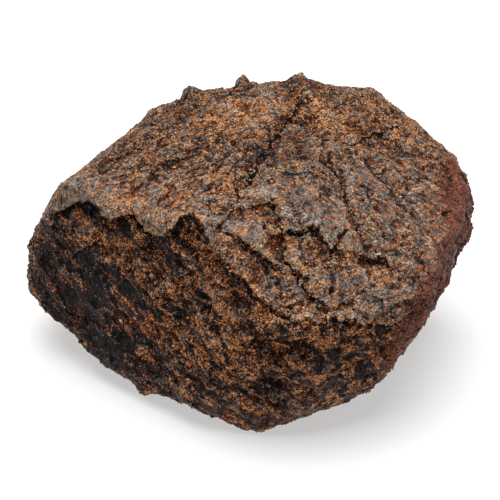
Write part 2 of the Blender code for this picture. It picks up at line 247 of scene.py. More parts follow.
# Places painted darker: partly darker crust, partly painted shade in valleys, scoops and along the foot of the
# ridge.
DARK_SPOTS = (
    (46, 262, 9, 1), (90, 275, 10, 1), (120, 290, 8, 0.9), (60, 300, 10, 1), (150, 300, 7, 0.7),
    (190, 290, 6, 0.5), (195, 250, 4, 0.5), (90, 208, 2.6, 0.9), (112, 230, 2.2, 0.9), (138, 219, 2, 0.8),
    (155, 238, 2.4, 0.8), (186, 232, 3, 0.6), (275, 383, 3, 0.7), (300, 345, 4, 0.6), (240, 310, 6, 0.5),
    (345, 348, 3, 0.5), (385, 350, 3, 0.5), (270, 350, 5, 0.6), (284, 140, 5, 0.7), (262, 154, 6, 0.8),
    (246, 166, 5, 0.6), (375, 138, 3, 0.5), (150, 247, 3, 0.6), (80, 240, 4, 0.6), (272, 136, 6, 0.6),
    (296, 118, 5, 0.5), (278, 116, 3, 0.4), (225, 150, 7, 0.45), (180, 158, 6, 0.4), (145, 135, 6, 0.3),
    (110, 160, 6, 0.3), (294, 85, 5, 1), (190, 98, 4, 0.9), (165, 117, 7, 0.6), (122, 151, 7, 0.5),
    (330, 91, 6, 0.6), (62, 192, 4, 0.4), (452, 150, 6, 0.4), (242, 88, 4, 0.6), (212, 232, 2, 0.8),
    (235, 264, 5, 0.7), (252, 282, 4, 0.6), (222, 248, 3, 0.6), (268, 296, 3, 0.5), (90, 260, 8, 1),
    (60, 315, 9, 1), (95, 340, 9, 1), (130, 350, 8, 0.9), (38, 250, 6, 0.8), (150, 375, 7, 0.7),
    (330, 160, 4, 0.3),
)


def stone_camera():
    data = bpy.data.cameras.new("camera")
    data.lens = LENS
    data.sensor_width = SENSOR
    data.clip_start = 0.01
    data.clip_end = 20.0
    camera = bpy.data.objects.new("camera", data)
    bpy.context.scene.collection.objects.link(camera)
    back = Vector((0.0, -math.cos(CAMERA_ELEVATION), math.sin(CAMERA_ELEVATION)))
    camera.location = (CAMERA_TARGET + back * CAMERA_DISTANCE) * MM
    camera.rotation_euler = (math.pi / 2.0 - CAMERA_ELEVATION, 0.0, 0.0)
    bpy.context.scene.camera = camera
    bpy.context.view_layer.update()
    return camera


# The vertex attributes that carry the masks to the material.
LINE_MASKS = ("recess", "crack_side", "crack_width", "ledge_side", "ledge_rise")
PLACE_MASKS = ("rust", "grey", "light", "dark", "front", "flank", "even", "bare")
GRAIN_MASKS = ("grain", "grain_tone", "grain_rust")


# ---- numbers on many points at once ----


def read_points(mesh):
    flat = np.empty(len(mesh.vertices) * 3, np.float32)
    mesh.vertices.foreach_get("co", flat)
    return flat.reshape(-1, 3).astype(np.float64) / MM


def read_normals(mesh):
    flat = np.empty(len(mesh.vertices) * 3, np.float32)
    mesh.vertex_normals.foreach_get("vector", flat)
    return flat.reshape(-1, 3).astype(np.float64)


def write_points(mesh, points):
    mesh.vertices.foreach_set("co", (points * MM).astype(np.float32).ravel())
    mesh.update()


def write_attribute(mesh, name, values):
    attribute = mesh.attributes.new(name, "FLOAT", "POINT")
    attribute.data.foreach_set("value", np.clip(values, 0.0, 1.0).astype(np.float32))


def write_constants(mesh, named):
    for name, value in named:
        write_attribute(mesh, name, np.full(len(mesh.vertices), value))


def read_attribute(mesh, name):
    values = np.empty(len(mesh.vertices), np.float32)
    mesh.attributes[name].data.foreach_get("value", values)
    return values


def cell_corners(points, cell):
    scaled = points / cell + 300.0
    base = np.floor(scaled).astype(np.int64)
    return base, scaled - base


def smooth_noise(points, cell, seed):
    """Gradient noise, about -1 to 1, with lumps one cell apart."""
    shuffle = np.random.default_rng(seed)
    order = shuffle.permutation(256)
    slopes = shuffle.normal(size=(256, 3))
    slopes /= np.linalg.norm(slopes, axis=1, keepdims=True)
    base, part = cell_corners(points, cell)
    fade = part**3 * (part * (part * 6.0 - 15.0) + 10.0)
    total = np.zeros(len(points))
    for corner in np.ndindex(2, 2, 2):
        key = np.zeros(len(points), dtype=np.int64)
        weight = np.ones(len(points))
        for axis in range(3):
            key = order[(key + base[:, axis] + corner[axis]) & 255]
            weight *= fade[:, axis] if corner[axis] else 1.0 - fade[:, axis]
        total += weight * np.einsum("ij,ij->i", slopes[key], part - corner)
    return 1.6 * total


def chipped(points, cell, seed):
    """Flat facets one cell apart, each tilted its own way, as heights for a slope of 1."""
    shuffle = np.random.default_rng(seed)
    order = shuffle.permutation(256)
    middles = shuffle.random((256, 3))
    tilts = shuffle.normal(size=(256, 3))
    tilts /= np.linalg.norm(tilts, axis=1, keepdims=True)
    base, part = cell_corners(points, cell)
    nearest = np.full(len(points), 9.0)
    height = np.zeros(len(points))
    for corner in np.ndindex(3, 3, 3):
        step = np.array(corner) - 1
        key = np.zeros(len(points), dtype=np.int64)
        for axis in range(3):
            key = order[(key + base[:, axis] + step[axis]) & 255]
        offset = part - step - middles[key]
        away = np.einsum("ij,ij->i", offset, offset)
        closer = away < nearest
        nearest[closer] = away[closer]
        height[closer] = np.einsum("ij,ij->i", offset[closer], tilts[key[closer]])
    return cell * height


def stretched(points, direction, streak):
    """The points pushed together along a direction, so that noise read at them is drawn out along it."""
    along = points @ direction
    return points - (1.0 - 1.0 / streak) * along[:, None] * direction


# ---- places on the stone ----


class StoneView:
    """Finds the place on the stone that the camera sees at a pixel."""

    def __init__(self, stone, camera):
        mesh = stone.data
        corners = [tuple(vertex.co) for vertex in mesh.vertices]
        faces = [tuple(face.vertices) for face in mesh.polygons]
        self.tree = BVHTree.FromPolygons(corners, faces)
        self.eye = camera.matrix_world.translation
        self.turn = camera.matrix_world.to_3x3()

    def place(self, x, y):
        """The point in mm and the surface's normal there, or None past the stone's outline."""
        middle = IMAGE_SIDE / 2.0
        slope = Vector(((x - middle) / PIXELS_PER_SLOPE, (middle - y) / PIXELS_PER_SLOPE, -1.0))
        point, normal, _, _ = self.tree.ray_cast(self.eye, (self.turn @ slope).normalized())
        if point is None:
            return None
        return np.array(point) / MM, np.array(normal)

    def direction(self, start, end):
        """The way from one pixel's place to another's, of length 1."""
        way = self.place(*end)[0] - self.place(*start)[0]
        return way / np.linalg.norm(way)

    def line(self, bends, spacing=3.0):
        """Points every few pixels along the bends, laid on the stone, each with its normal."""
        found = []
        for (x0, y0), (x1, y1) in zip(bends, bends[1:]):
            across, down = x1 - x0, y1 - y0
            steps = max(1, round(math.hypot(across, down) / spacing))
            found += [self.place(x0 + across * k / steps, y0 + down * k / steps) for k in range(steps)]
        found.append(self.place(*bends[-1]))
        return [place for place in found if place is not None]


def along_line(points, line, reach):
    """The points within reach of a line, and how far they are from it along the surface and to its left."""
    stops = np.array([point for point, _ in line])
    low, high = stops.min(axis=0) - reach - OFF_SURFACE, stops.max(axis=0) + reach + OFF_SURFACE
    near = np.flatnonzero(np.all((points > low) & (points < high), axis=1))
    local = points[near]
    nearest = np.full(len(near), np.inf)
    left = np.zeros(len(near))
    for (start, normal), (end, _) in zip(line, line[1:]):
        run = end - start
        share = np.clip((local - start) @ run / max(run @ run, 1e-9), 0.0, 1.0)
        offset = local - (start + share[:, None] * run)
        above = offset @ normal
        away = np.sqrt(np.maximum(np.einsum("ij,ij->i", offset, offset) - above**2, 0.0))
        away += np.maximum(np.abs(above) - OFF_SURFACE, 0.0)
        leftward = np.cross(normal, run)
        leftward /= max(np.linalg.norm(leftward), 1e-9)
        closer = away < nearest
        nearest[closer] = away[closer]
        left[closer] = (offset @ leftward)[closer]
    within = nearest < reach
    return near[within], nearest[within], left[within]


# ---- relief ----


def strayed(points):
    """The points moved a little, so that what is measured from them has a wandering, broken edge."""
    moved = points.copy()
    for octave, (cell, reach) in enumerate(STRAYS):
        for axis in range(3):
            moved[:, axis] += reach * smooth_noise(points, cell, STRAY_SEED + 3 * octave + axis)
    for octave, (cell, reach) in enumerate(JAGS):
        for axis in range(3):
            moved[:, axis] += reach * chipped(points, cell, JAG_SEED + 3 * octave + axis)
    return moved


def ledge_relief(points, view):
    """A sharp step along each ledge, with the ground sinking back on both sides."""
    raised = np.zeros(len(points))
    sunk = np.zeros(len(points))
    for rise, reach, bends in LEDGES.values():
        near, away, left = along_line(points, view.line(bends), 2.5 * reach)
        blend = 0.5 + 0.5 * np.tanh(left / STEP_SOFTNESS)
        raised[near] = np.maximum(raised[near], 0.55 * rise * blend * np.exp(-away / reach))
        sunk[near] = np.maximum(sunk[near], 0.45 * rise * (1.0 - blend) * np.exp(-away / (0.6 * reach)))
    return raised - sunk


def crack_relief(points, view):
    height = np.zeros(len(points))
    for half_width, depth, bends in CRACKS.values():
        near, away, _ = along_line(points, view.line(bends), 3.0 * half_width)
        broken = np.clip(0.7 + 0.9 * smooth_noise(points[near], 4.0, CRACK_SEED), 0.1, 1.0)
        height[near] = np.minimum(height[near], -depth * broken * np.exp(-((away / half_width) ** 2)))
    return height


def side_masks(points, view, table, strength):
    """Each point's side of the nearest line of a table, 0.5 on it, and that line's strength, fading away."""
    side = np.full(len(points), 0.5)
    strengths = np.zeros(len(points))
    nearest = np.full(len(points), np.inf)
    for row in table.values():
        near, away, left = along_line(points, view.line(row[2]), 2.5 * SIDE_REACH)
        closer = away < nearest[near]
        near, away, left = near[closer], away[closer], left[closer]
        nearest[near] = away
        side[near] = 0.5 + 0.5 * np.clip(np.sign(left) * away / SIDE_REACH, -1.0, 1.0)
        strengths[near] = strength(row[0]) * np.clip(2.5 - away / SIDE_REACH, 0.0, 1.0)
    return side, strengths


def clusters(points, view):
    """0 on the bare crust of the dark face, 1 in the streaks of broken rusty grains that cross it."""
    place = stretched(points, view.direction(*FRONT_GRAIN), CLUSTER_STREAK)
    value = np.zeros(len(points))
    for octave, (cell, share) in enumerate(CLUSTERS):
        value += share * smooth_noise(place, cell, CLUSTER_SEED + octave)
    return np.clip(0.46 + 2.0 * value, 0.0, 1.0)


def pit_relief(points, view, table, steepness):
    height = np.zeros(len(points))
    for x, y, radius, depth in table:
        place = view.place(x, y)
        if place is None:
            continue
        away = np.linalg.norm(points - place[0], axis=1) / radius
        height = np.minimum(height, -depth * np.clip(1.0 - away**2, 0.0, 1.0) ** steepness)
    return height


def spots(points, view, table):
    """A soft mask, 1 in the middle of each spot."""
    mask = np.zeros(len(points))
    for x, y, radius, strength in table:
        place = view.place(x, y)
        if place is None:
            continue
        away = np.linalg.norm(points - place[0], axis=1) / radius
        mask = np.maximum(mask, strength * np.exp(-(away**2)))
    return mask


def front_share(points, normals, broken, view):
    """1 on the steep sides, 0 on top, with a wandering edge between and a sharp one along the divides."""
    share = np.clip((0.42 - normals[:, 2]) / 0.30 + 0.5 * smooth_noise(points, 7.0, FRONT_SEED), 0.0, 1.0)
    for name in DIVIDES:
        near, away, left = along_line(broken, view.line(LEDGES[name][2]), 2.5 * DIVIDE_REACH)
        sure = np.exp(-((away / DIVIDE_REACH) ** 2))
        share[near] += sure * ((left < 0.0) - share[near])
    return share


class Surface:
    """The points of the stone, and what its relief and its colours both need to know about them."""

    def __init__(self, mesh, view):
        self.view = view
        self.points = read_points(mesh)
        self.normals = read_normals(mesh)
        self.broken = strayed(self.points)
        self.front = front_share(self.points, self.normals, self.broken, view)
        self.rust = spots(self.broken, view, RUST_SPOTS)
        self.dark = spots(self.broken, view, DARK_SPOTS)
        bare = BARE_START - clusters(self.points, view) - BARE_LESS_BY_RUST * self.rust
        bare += BARE_MORE_BY_DARK * self.dark
        toward_viewer = (HEART[1] - self.points[:, 1]) / np.linalg.norm(self.points - HEART, axis=1)
        self.bare = self.front * np.clip(bare, 0.0, 1.0) * np.clip(0.85 + 0.50 * toward_viewer, 0.45, 1.0)


def divide_shade(surface):
    """How much painted shade darkens the face just under a divide, and how much painted light brightens the lip
    above it.
    """
    shade = np.zeros(len(surface.points))
    lip = np.zeros(len(surface.points))
    for name in DIVIDES:
        line = surface.view.line(LEDGES[name][2])
        near, away, left = along_line(surface.broken, line, 3.0 * SHADE_REACH)
        under = np.exp(-away / SHADE_REACH) * (left < 0.0)
        shade[near] = np.maximum(shade[near], under)
        lip[near] = np.maximum(lip[near], np.exp(-away / (0.6 * SHADE_REACH)) * (left >= 0.0))
    return shade, lip


def ruggedness(surface):
    """0 on the smooth slabs and shoulder, about 0.4 over the top, 1 on the dark broken face."""
    points, view = surface.points, surface.view
    flank = spots(points, view, FLANK_SPOTS)
    lower = np.clip((12.0 - points[:, 2]) / 6.0, 0.0, 1.0)
    rugged = 0.27 + 0.73 * surface.front * (1.0 - 0.6 * lower)
    rugged += 0.25 * smooth_noise(points, 11.0, RUGGED_SEED)
    rugged = rugged * (1.0 - 0.6 * surface.bare)
    return np.clip(rugged * (1.0 - np.maximum(spots(points, view, SMOOTH_SPOTS), 0.8 * flank)), 0.0, 1.0)


def grain_relief(surface):
    """The noise of the broken surface, drawn out along the grain of the top and of the front."""
    points, view, front = surface.points, surface.view, surface.front
    rugged = ruggedness(surface)
    height = np.zeros(len(points))
    for grain, streak, share in ((TOP_GRAIN, TOP_STREAK, 1.0 - front), (FRONT_GRAIN, FRONT_STREAK, front)):
        place = stretched(points, view.direction(*grain), streak)
        for octave, (cell, low, high) in enumerate(LUMPS):
            height += share * (low + (high - low) * rugged) * smooth_noise(place, cell, LUMP_SEED + octave)
        for octave, (cell, low, high) in enumerate(SCALLOPS):
            hollow = 0.3 - np.abs(smooth_noise(place, cell, SCALLOP_SEED + octave))
            height += share * (low + (high - low) * rugged) * hollow
    for octave, (cell, low, high) in enumerate(SCALE_CHIPS):
        height += (low + (high - low) * rugged) * chipped(points, cell, CHIP_SEED + octave)
    return height


def roughen(stone, view):
    surface = Surface(stone.data, view)
    height = grain_relief(surface)
    height += ledge_relief(surface.broken, view)
    height += crack_relief(surface.broken, view)
    height += pit_relief(surface.broken, view, PITS, 1.5)
    height += pit_relief(surface.broken, view, SCOOPS, 0.8)
    moved = surface.points + surface.normals * height[:, None]
    for x, y, radius, rise in HORNS:
        tip = view.place(x, y)[0]
        away = np.linalg.norm(surface.points - tip, axis=1) / radius
        outward = (tip - HEART) / np.linalg.norm(tip - HEART)
        moved += rise * np.clip(1.0 - away, 0.0, 1.0)[:, None] * outward
    moved[:, 2] = np.maximum(moved[:, 2], 0.0)
    write_points(stone.data, moved)


# ---- the fine mesh ----


def apply_modifiers(thing):
    graph = bpy.context.evaluated_depsgraph_get()
    mesh = bpy.data.meshes.new_from_object(thing.evaluated_get(graph))
    old = thing.data
    thing.modifiers.clear()
    thing.data = mesh
    bpy.data.meshes.remove(old)


def fine_copy(node):
    """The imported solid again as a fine, even mesh without its flat triangles."""
    mesh = node.data.copy()
    mesh.materials.clear()
    shape = bmesh.new()
    shape.from_mesh(mesh)
    bmesh.ops.remove_doubles(shape, verts=shape.verts, dist=0.001 * MM)
    shape.to_mesh(mesh)
    shape.free()
    stone = bpy.data.objects.new("stone_surface", mesh)
    bpy.context.scene.collection.objects.link(stone)
    remesh = stone.modifiers.new("even", "REMESH")
    remesh.mode = "VOXEL"
    remesh.voxel_size = VOXEL * MM
    smooth = stone.modifiers.new("soft", "SMOOTH")
    smooth.factor = 0.5
    smooth.iterations = FACET_SMOOTHING
    apply_modifiers(stone)
    return stone


def thin_out(stone):
    triangles = sum(len(face.vertices) - 2 for face in stone.data.polygons)
    if triangles <= MOST_TRIANGLES:
        return
    fewer = stone.modifiers.new("fewer", "DECIMATE")
    fewer.ratio = MOST_TRIANGLES / triangles
    apply_modifiers(stone)


def neighbour_mean(points, edges, counts):
    total = np.zeros_like(points)
    for axis in range(points.shape[1]):
        total[:, axis] = np.bincount(edges[:, 0], points[edges[:, 1], axis], len(points))
        total[:, axis] += np.bincount(edges[:, 1], points[edges[:, 0], axis], len(points))
    return total / counts[:, None]


def recess(mesh):
    """How far each vertex lies below the smoothed surface around it, 0 to 1, from fine to coarse."""
    points, normals = read_points(mesh), read_normals(mesh)
    flat = np.empty(len(mesh.edges) * 2, np.int32)
    mesh.edges.foreach_get("vertices", flat)
    edges = flat.reshape(-1, 2)
    counts = np.bincount(edges.ravel(), minlength=len(points)).astype(float)
    depth = np.zeros(len(points))
    smoothed = points
    done = 0
    for steps, full_depth, share in ((4, 0.10, 0.4), (24, 0.35, 0.5), (90, 1.0, 0.5)):
        for _ in range(steps - done):
            smoothed = 0.5 * smoothed + 0.5 * neighbour_mean(smoothed, edges, counts)
        done = steps
        below = np.einsum("ij,ij->i", smoothed - points, normals) / full_depth
        depth += share * np.clip(below, -1.0, 1.0)
    return depth


def write_masks(stone, view):
    """Writes on the vertices all that the material needs to know about a place, each from 0 to 1."""
    mesh = stone.data
    surface = Surface(mesh, view)
    points, broken, front = surface.points, surface.broken, surface.front
    write_attribute(mesh, "recess", 0.5 + 0.5 * recess(mesh))
    side, width = side_masks(broken, view, CRACKS, lambda half_width: half_width / WIDEST_CRACK)
    write_attribute(mesh, "crack_side", side)
    write_attribute(mesh, "crack_width", width)
    side, rise = side_masks(broken, view, LEDGES, lambda rise: 0.35 + rise)
    write_attribute(mesh, "ledge_side", side)
    write_attribute(mesh, "ledge_rise", rise)
    write_attribute(mesh, "bare", surface.bare)
    write_attribute(mesh, "rust", surface.rust)
    write_attribute(mesh, "grey", spots(broken, view, GREY_SPOTS))
    # Painted shade: the steep front darker, less so low down where the floor lights it, and black under the
    # divides; painted light on the lips above the divides and, with the light spots, lifting the dark.
    lower = np.clip((14.0 - points[:, 2]) / 8.0, 0.0, 1.0)
    shaded = 0.70 * front * (1.0 - 0.80 * lower)
    shade, lip = divide_shade(surface)
    light = np.maximum(spots(broken, view, LIGHT_SPOTS), 0.6 * lip)
    dark = np.maximum(shaded, surface.dark) * (1.0 - 0.6 * light)
    write_attribute(mesh, "front", front)
    write_attribute(mesh, "light", light)
    write_attribute(mesh, "dark", np.maximum(dark, 0.65 * shade))
    way_right = points[:, 0] - HEART[0]
    way_right /= np.linalg.norm(points - HEART, axis=1)
    right_end = (way_right - 0.84) / 0.16 + 1.5 * smooth_noise(points, 14.0, FLANK_SEEDS[0])
    right_end += 0.9 * smooth_noise(points, 5.0, FLANK_SEEDS[1])
    right_end -= np.clip((surface.normals[:, 2] - 0.3) / 0.5, 0.0, 1.0)
    right_end = np.clip(right_end, 0.0, 1.0)
    flank = np.maximum(0.85 * right_end, 1.4 * spots(broken, view, FLANK_SPOTS) ** 1.3)
    write_attribute(mesh, "flank", flank)
    write_attribute(mesh, "even", np.maximum(0.8 * flank, spots(broken, view, SMOOTH_SPOTS)))
    write_constants(mesh, (("grain", 0.0), ("grain_tone", 0.5), ("grain_rust", 0.5)))


# ---- grains ----


def pick_faces(stone, count, shuffle):
    """Random faces of the stone, likelier where they are larger and where the surface is more broken."""
    mesh = stone.data
    mesh.calc_loop_triangles()
    areas = np.empty(len(mesh.loop_triangles), np.float32)
    mesh.loop_triangles.foreach_get("area", areas)
    corners = np.empty(len(mesh.loop_triangles) * 3, np.int32)
    mesh.loop_triangles.foreach_get("vertices", corners)
    corners = corners.reshape(-1, 3)
    even = read_attribute(mesh, "even")[corners].mean(axis=1)
    recess = read_attribute(mesh, "recess")[corners].mean(axis=1)
    front = read_attribute(mesh, "front")[corners].mean(axis=1)
    bare = read_attribute(mesh, "bare")[corners].mean(axis=1)
    height = read_points(mesh)[corners, 2].mean(axis=1)
    wanted = areas * (1.0 - 0.85 * even) * (1.3 - 0.8 * recess) * (0.5 + front - 1.3 * bare)
    wanted = np.maximum(wanted, 0.0) * (height > GRAIN_SIZE)
    ladder = np.cumsum(wanted)
    picked = np.searchsorted(ladder, shuffle.random(count) * ladder[-1])
    return corners[picked]


def grain_shapes(count, shuffle):
    """Angular solids of six corners and eight faces, about 1 in half width, each turned its own way."""
    spokes = np.array([(1, 0, 0), (0, 1, 0), (0, 0, 1), (-1, 0, 0), (0, -1, 0), (0, 0, -1)], float)
    shapes = spokes * shuffle.uniform(0.7, 1.25, (count, CORNERS, 1))
    shapes += shuffle.normal(0.0, 0.16, (count, CORNERS, 3))
    turn, _ = np.linalg.qr(shuffle.normal(size=(count, 3, 3)))
    turn *= np.sign(np.linalg.det(turn))[:, None, None]
    return np.einsum("nij,nkj->nki", turn, shapes)


def grains(stone, material):
    """All the grains as one mesh, each flattened and half sunk in the surface."""
    shuffle = np.random.default_rng(GRAIN_SEED)
    mesh = stone.data
    corners = pick_faces(stone, GRAINS, shuffle)
    weights = shuffle.dirichlet((1.0, 1.0, 1.0), GRAINS)[:, :, None]
    middles = (read_points(mesh)[corners] * weights).sum(axis=1)
    normals = (read_normals(mesh)[corners] * weights).sum(axis=1)
    normals /= np.linalg.norm(normals, axis=1, keepdims=True)
    sizes = GRAIN_SIZE * np.exp(GRAIN_SPREAD * shuffle.normal(size=GRAINS))[:, None]
    sizes = np.minimum(sizes, LARGEST_GRAIN)
    shapes = grain_shapes(GRAINS, shuffle)
    tall = np.einsum("nki,ni->nk", shapes, normals)[:, :, None]
    shapes -= (1.0 - GRAIN_FLATNESS) * tall * normals[:, None, :]
    middles -= GRAIN_SUNK * sizes * normals
    points = (middles[:, None, :] + shapes * sizes[:, :, None]).reshape(-1, 3)
    points[:, 2] = np.maximum(points[:, 2], 0.0)
    sides = np.array([(0, 1, 2), (1, 3, 2), (3, 4, 2), (4, 0, 2), (1, 0, 5), (3, 1, 5), (4, 3, 5), (0, 4, 5)])
    faces = (sides + CORNERS * np.arange(GRAINS)[:, None, None]).reshape(-1, 3)
    made = bpy.data.meshes.new("grains")
    made.from_pydata((points * MM).tolist(), [], faces.tolist())
    for name in PLACE_MASKS:
        write_attribute(made, name, np.repeat(read_attribute(mesh, name)[corners[:, 0]], CORNERS))
    write_constants(made, (("recess", 0.42), ("crack_side", 0.5), ("crack_width", 0.0), ("ledge_side", 0.5),
                           ("ledge_rise", 0.0), ("grain", 1.0)))
    write_attribute(made, "grain_tone", np.repeat(shuffle.random(GRAINS), CORNERS))
    write_attribute(made, "grain_rust", np.repeat(shuffle.random(GRAINS), CORNERS))
    grid_map(made)
    made.materials.append(material)
    thing = bpy.data.objects.new("grains", made)
    bpy.context.scene.collection.objects.link(thing)
    return thing


# ---- maps for a bake of the material ----

BAKE_MAP = "OFBake"
HALF_SIDES = np.array((51.0, 44.0, 30.0))  # of a box about as large as the stone
PANEL_HALF = 0.46       # half of each panel, in panels: the rest keeps the panels apart
PANEL_EDGE = 1.07
LOWER_TRIANGLE = ((0.08, 0.08), (0.80, 0.08), (0.08, 0.80))
UPPER_TRIANGLE = ((0.92, 0.92), (0.20, 0.92), (0.92, 0.20))


def write_map(mesh, places):
    layer = mesh.uv_layers.new(name=BAKE_MAP)
    layer.data.foreach_set("uv", places.astype(np.float32).ravel())


def read_faces(mesh, name, kind, width=1):
    values = np.empty(len(mesh.polygons) * width, kind)
    mesh.polygons.foreach_get(name, values)
    return values


def box_map(mesh):
    """Six panels, each with the faces that the heart of the stone sees through one side of a box round it."""
    middles = read_faces(mesh, "center", np.float32, 3).reshape(-1, 3) / MM - HEART
    middles /= HALF_SIDES
    owner = np.repeat(np.arange(len(middles)), read_faces(mesh, "loop_total", np.int32))
    vertex = np.empty(len(mesh.loops), np.int32)
    mesh.loops.foreach_get("vertex_index", vertex)
    corners = (read_points(mesh)[vertex] - HEART) / HALF_SIDES
    axis = np.abs(middles).argmax(axis=1)[owner]
    rows = np.arange(len(owner))
    ahead = np.abs(corners[rows, axis])
    across = np.clip(corners[rows, (axis + 1) % 3] / ahead, -PANEL_EDGE, PANEL_EDGE)
    up = np.clip(corners[rows, (axis + 2) % 3] / ahead, -PANEL_EDGE, PANEL_EDGE)
    positive = middles[owner, axis] > 0.0
    write_map(mesh, np.stack(((axis + 0.5 + PANEL_HALF * across) / 3.0,
                              (positive + 0.5 + PANEL_HALF * up) / 2.0), axis=1))


def grid_map(mesh):
    """Every two triangles in a cell of their own, clear of each other and of the cell's edges."""
    count = len(mesh.polygons)
    side = math.ceil(math.sqrt(count / 2.0))
    face = np.arange(count)
    cell = np.stack((face // 2 % side, face // 2 // side), axis=1)
    corners = np.array((LOWER_TRIANGLE, UPPER_TRIANGLE))[face % 2]
    write_map(mesh, (corners + cell[:, None, :]) / side)


# ---- material ----


def linear(colour):
    """A colour of 0 to 255 as Blender's linear values."""
    part = [value / 255.0 for value in colour]
    part = [v / 12.92 if v <= 0.04045 else ((v + 0.055) / 1.055) ** 2.4 for v in part]
    return (*part, 1.0)


class Graph:
    """A material's nodes, made by short calls that return the socket to use next."""

    def __init__(self, name):
        self.material = bpy.data.materials.new(name)
        self.material.use_nodes = True
        self.tree = self.material.node_tree
        self.shader = self.tree.nodes["Principled BSDF"]

    def feed(self, socket, value):
        if isinstance(value, bpy.types.NodeSocket):
            self.tree.links.new(value, socket)
        else:
            socket.default_value = value

    def node(self, kind, inputs, output=0, **settings):
        made = self.tree.nodes.new(kind)
        for name, value in settings.items():
            setattr(made, name, value)
        for key, value in inputs.items():
            self.feed(made.inputs[key], value)
        return made.outputs[output]

    def math(self, operation, *values):
        return self.node("ShaderNodeMath", dict(enumerate(values)), operation=operation)

    def add(self, *values):
        total = values[0]
        for value in values[1:]:
            total = self.math("ADD", total, value)
        return total

    def scale(self, value, factor):
        return self.math("MULTIPLY", value, factor)

    def blend(self, share, first, second):
        return self.node("ShaderNodeMix", {0: share, 2: first, 3: second}, data_type="FLOAT")

    def stretched(self, place, direction, streak):
        """The place pushed together along a direction, so that noise read there is drawn out along it."""
        along = self.node("ShaderNodeVectorMath", {0: place, 1: direction}, "Value", operation="DOT_PRODUCT")
        along = self.scale(along, -(1.0 - 1.0 / streak))
        back = self.node("ShaderNodeVectorMath", {0: direction, "Scale": along}, operation="SCALE")
        return self.node("ShaderNodeVectorMath", {0: place, 1: back}, operation="ADD")

    def shift(self, place, distance):
        """The place moved, so that noise read there has nothing to do with the noise at the place itself."""
        return self.node("ShaderNodeVectorMath", {0: place, 1: (distance, 0.0, distance)}, operation="ADD")

    def step(self, value, low, high):
        """0 below low, 1 above high, and smooth between."""
        return self.node("ShaderNodeMapRange", {"Value": value, "From Min": low, "From Max": high},
                         interpolation_type="SMOOTHSTEP")

    def attribute(self, name):
        return self.node("ShaderNodeAttribute", {}, "Fac", attribute_name=name)

    def noise(self, place, scale, detail=3.0, roughness=0.6, output="Fac"):
        return self.node("ShaderNodeTexNoise", {"Vector": place, "Scale": scale, "Detail": detail,
                         "Roughness": roughness}, output)

    def cells(self, place, scale, output="Color", feature="F1"):
        return self.node("ShaderNodeTexVoronoi", {"Vector": place, "Scale": scale}, output, feature=feature)

    def split(self, colour):
        made = self.tree.nodes.new("ShaderNodeSeparateColor")
        self.feed(made.inputs[0], colour)
        return made.outputs

    def mix(self, share, first, second, blend="MIX"):
        made = self.tree.nodes.new("ShaderNodeMix")
        made.data_type = "RGBA"
        made.blend_type = blend
        self.feed(made.inputs[0], share)
        self.feed(made.inputs[6], first)
        self.feed(made.inputs[7], second)
        return made.outputs[2]

    def ramp(self, value, stops):
        made = self.tree.nodes.new("ShaderNodeValToRGB")
        self.feed(made.inputs[0], value)
        points = made.color_ramp.elements
        while len(points) < len(stops):
            points.new(0.5)
        for point, (place, colour) in zip(points, stops):
            point.position = place
            point.color = linear(colour)
        return made.outputs[0]


# The colours of the crust, of rust on top and on the dark face, and of the red flank, from dark to light.
CRUST_STOPS = (
    (0.00, (6, 6, 7)), (0.20, (27, 22, 23)), (0.38, (59, 49, 46)), (0.50, (92, 79, 71)),
    (0.62, (121, 106, 96)), (0.78, (156, 140, 127)), (1.00, (214, 200, 186)),
)
BARE_STOPS = (
    (0.00, (7, 4, 6)), (0.20, (31, 18, 20)), (0.38, (66, 42, 39)), (0.62, (122, 88, 77)),
    (1.00, (200, 170, 150)),
)
RUST_STOPS = (
    (0.00, (12, 6, 4)), (0.20, (48, 23, 12)), (0.38, (100, 51, 28)), (0.50, (146, 83, 46)),
    (0.62, (182, 111, 64)), (0.78, (214, 147, 93)), (1.00, (248, 198, 142)),
)
FACE_RUST_STOPS = (
    (0.00, (12, 5, 3)), (0.20, (54, 21, 13)), (0.38, (118, 48, 28)), (0.50, (174, 76, 39)),
    (0.62, (216, 103, 52)), (0.78, (242, 140, 80)), (1.00, (252, 196, 138)),
)
FLANK_STOPS = (
    (0.00, (10, 6, 6)), (0.25, (38, 18, 15)), (0.40, (82, 41, 31)), (0.60, (117, 62, 46)),
    (1.00, (176, 108, 80)),
)
ALBEDO_SCALE = 0.74     # how much darker the stone is than it looks under the bright light
# Painted shade and highlights: black for hollows, for pits with the flank's specks, and for lines; the colours
# of the painted glints on top and on the face.
HOLLOW_SHADE_BLACK = (14, 9, 8)
PIT_SHADE_AND_SPECK_BLACK = (12, 9, 10)
LINE_SHADE_BLACK = (10, 8, 8)
TOP_GLINT = (228, 229, 231)
FACE_GLINT = (250, 190, 132)

# How many lumps or cells a noise has in a millimetre.
WANDER = 1.6
SMALL_CELLS = 3.0
LARGE_CELLS = 1.3
GLINT_CELLS = 2.6
SEAM_CELLS = 0.42
CRACKLE_CELLS = 1.25
FINE = 4.2
MEDIUM = 1.2
GRIT = 5.0
BROAD = 0.32
CALM = 0.22
RUST_FINE = 2.4
RUST_PATCH = 0.8
FACE_RUST_PATCH = 0.6
RUST_BROAD = 0.28

# Gloss.
SPECULAR = 0.08
COAT_ROUGHNESS = 0.24


